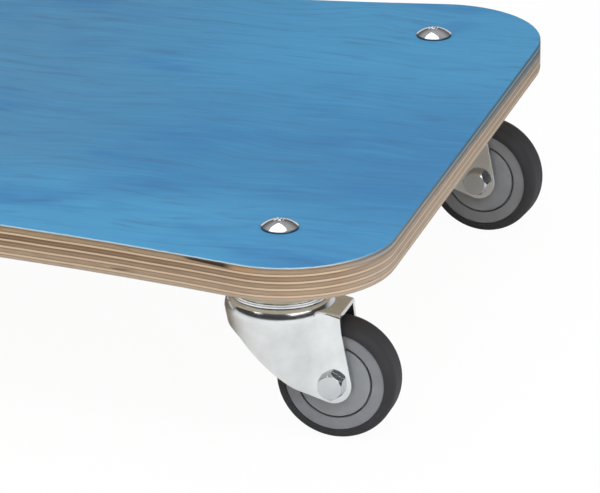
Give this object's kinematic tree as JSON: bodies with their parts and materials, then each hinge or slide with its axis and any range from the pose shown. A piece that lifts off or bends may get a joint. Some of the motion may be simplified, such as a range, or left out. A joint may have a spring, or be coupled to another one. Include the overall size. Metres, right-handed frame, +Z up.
{
  "type": "wooden dolly",
  "caption": "Waisted plywood dolly with a stained top, carried at its corners on swivel casters, each held to the deck by one dome-head bolt.",
  "frame": {"origin": "on the floor under the middle of the deck", "axes": "+X along the deck, +Y across it, +Z up"},
  "size_m": [0.5624, 0.3242, 0.0896],
  "materials": {
    "stained_plywood": "blue stained and oiled top, clear plywood edge",
    "bolt_chrome": "bright plated",
    "pressed_zinc": "bright zinc plate",
    "fork_zinc": "satin zinc plate",
    "axle_zinc": "satin zinc plate",
    "bearing_steel": "ground",
    "guard_plastic": "moulded",
    "hub_plastic": "moulded",
    "tread_rubber": "smooth, soft gloss"
  },
  "bodies": {
    "deck": {"deck": "stained_plywood", "deck_bolts": "bolt_chrome", "deck_nuts": "axle_zinc", "right_front_top_dish": "pressed_zinc", "right_front_king_sleeve": "bearing_steel", "right_front_lower_race": "pressed_zinc", "right_rear_top_dish": "pressed_zinc", "right_rear_king_sleeve": "bearing_steel", "right_rear_lower_race": "pressed_zinc", "left_front_top_dish": "pressed_zinc", "left_front_king_sleeve": "bearing_steel", "left_front_lower_race": "pressed_zinc", "left_rear_top_dish": "pressed_zinc", "left_rear_king_sleeve": "bearing_steel", "left_rear_lower_race": "pressed_zinc"},
    "right_front_swivel": {"right_front_fork": "fork_zinc", "right_front_upper_balls": "bearing_steel", "right_front_lower_balls": "bearing_steel", "right_front_axle_bolt": "axle_zinc", "right_front_axle_nut": "axle_zinc", "right_front_axle_sleeve": "bearing_steel", "right_front_thread_guards": "guard_plastic"},
    "right_front_wheel": {"right_front_wheel_hub": "hub_plastic", "right_front_tread": "tread_rubber"},
    "right_rear_swivel": {"right_rear_fork": "fork_zinc", "right_rear_upper_balls": "bearing_steel", "right_rear_lower_balls": "bearing_steel", "right_rear_axle_bolt": "axle_zinc", "right_rear_axle_nut": "axle_zinc", "right_rear_axle_sleeve": "bearing_steel", "right_rear_thread_guards": "guard_plastic"},
    "right_rear_wheel": {"right_rear_wheel_hub": "hub_plastic", "right_rear_tread": "tread_rubber"},
    "left_front_swivel": {"left_front_fork": "fork_zinc", "left_front_upper_balls": "bearing_steel", "left_front_lower_balls": "bearing_steel", "left_front_axle_bolt": "axle_zinc", "left_front_axle_nut": "axle_zinc", "left_front_axle_sleeve": "bearing_steel", "left_front_thread_guards": "guard_plastic"},
    "left_front_wheel": {"left_front_wheel_hub": "hub_plastic", "left_front_tread": "tread_rubber"},
    "left_rear_swivel": {"left_rear_fork": "fork_zinc", "left_rear_upper_balls": "bearing_steel", "left_rear_lower_balls": "bearing_steel", "left_rear_axle_bolt": "axle_zinc", "left_rear_axle_nut": "axle_zinc", "left_rear_axle_sleeve": "bearing_steel", "left_rear_thread_guards": "guard_plastic"},
    "left_rear_wheel": {"left_rear_wheel_hub": "hub_plastic", "left_rear_tread": "tread_rubber"}
  },
  "joints": [
    {"name": "right_front_swivel_turn", "type": "hinge", "parent": "deck", "child": "right_front_swivel", "pos_m": [0.2328, -0.11898, 0.0712], "axis": [0, 0, 1], "continuous": true},
    {"name": "right_front_wheel_spin", "type": "hinge", "parent": "right_front_swivel", "child": "right_front_wheel", "pos_m": [0.2573, -0.11918, 0.025], "axis": [0.0079, 1, 0], "continuous": true},
    {"name": "right_rear_swivel_turn", "type": "hinge", "parent": "deck", "child": "right_rear_swivel", "pos_m": [0.2328, 0.11898, 0.0712], "axis": [0, 0, 1], "continuous": true},
    {"name": "right_rear_wheel_spin", "type": "hinge", "parent": "right_rear_swivel", "child": "right_rear_wheel", "pos_m": [0.25717, 0.11642, 0.025], "axis": [0.1045, 0.9945, 0], "continuous": true},
    {"name": "left_front_swivel_turn", "type": "hinge", "parent": "deck", "child": "left_front_swivel", "pos_m": [-0.2328, -0.11898, 0.0712], "axis": [0, 0, 1], "continuous": true},
    {"name": "left_front_wheel_spin", "type": "hinge", "parent": "left_front_swivel", "child": "left_front_wheel", "pos_m": [-0.20831, -0.1183, 0.025], "axis": [-0.0279, 0.9996, 0], "continuous": true},
    {"name": "left_rear_swivel_turn", "type": "hinge", "parent": "deck", "child": "left_rear_swivel", "pos_m": [-0.2328, 0.11898, 0.0712], "axis": [0, 0, 1], "continuous": true},
    {"name": "left_rear_wheel_spin", "type": "hinge", "parent": "left_rear_swivel", "child": "left_rear_wheel", "pos_m": [-0.20832, 0.11796, 0.025], "axis": [0.0419, 0.9991, 0], "continuous": true}
  ]
}
